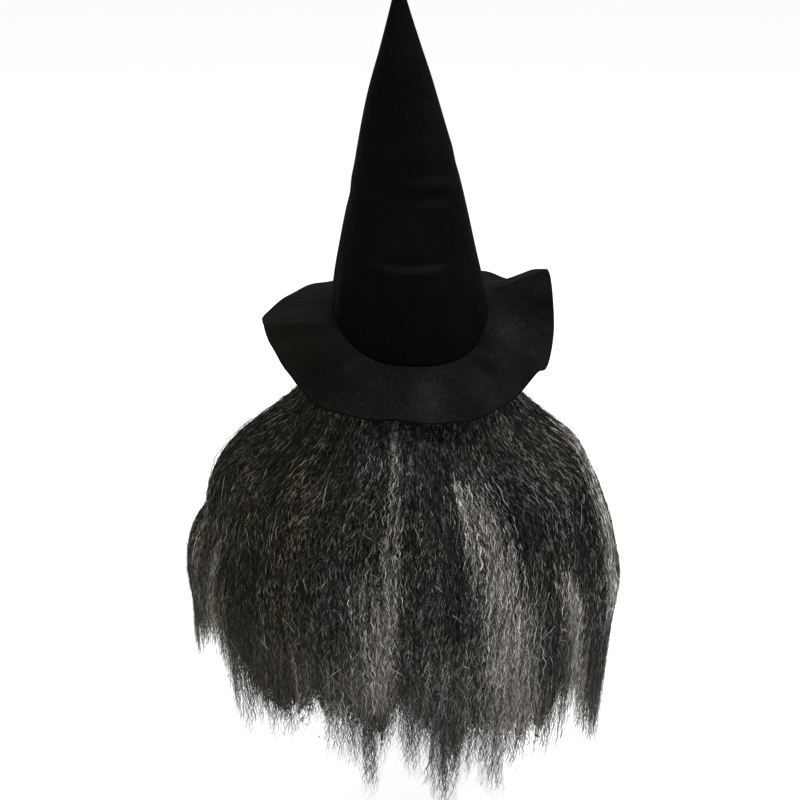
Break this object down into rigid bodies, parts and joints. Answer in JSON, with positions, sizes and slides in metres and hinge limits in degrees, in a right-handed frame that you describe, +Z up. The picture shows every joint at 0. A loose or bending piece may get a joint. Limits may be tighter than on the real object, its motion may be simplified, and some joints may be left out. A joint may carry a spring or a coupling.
{
  "type": "full-head ghost witch mask with long frizzy hair and a tall felt hat",
  "caption": "Full-head latex costume mask with a plain calm face, a wide curtain of crimped grey hair and a tall pointed black felt hat with a wavy brim.",
  "frame": {"origin": "the top of the wearer's head, where the inside of the hood's dome rests on it", "axes": "+Z up along the wearer's head towards the hat's tip, -Y the way the face looks, +X the wearer's left"},
  "size_m": [0.5176, 0.3688, 0.8842],
  "materials": {
    "latex": "matt pale moulded latex, soft and slightly waxy",
    "hair": "crimped synthetic hair, charcoal with pale grey streaks, low sheen",
    "felt": "matt black needled felt with a short soft nap"
  },
  "bodies": {
    "root": {"latex_hood": "latex", "hair": "hair", "hat_brim": "felt", "hat_crown": "felt"}
  },
  "joints": []
}
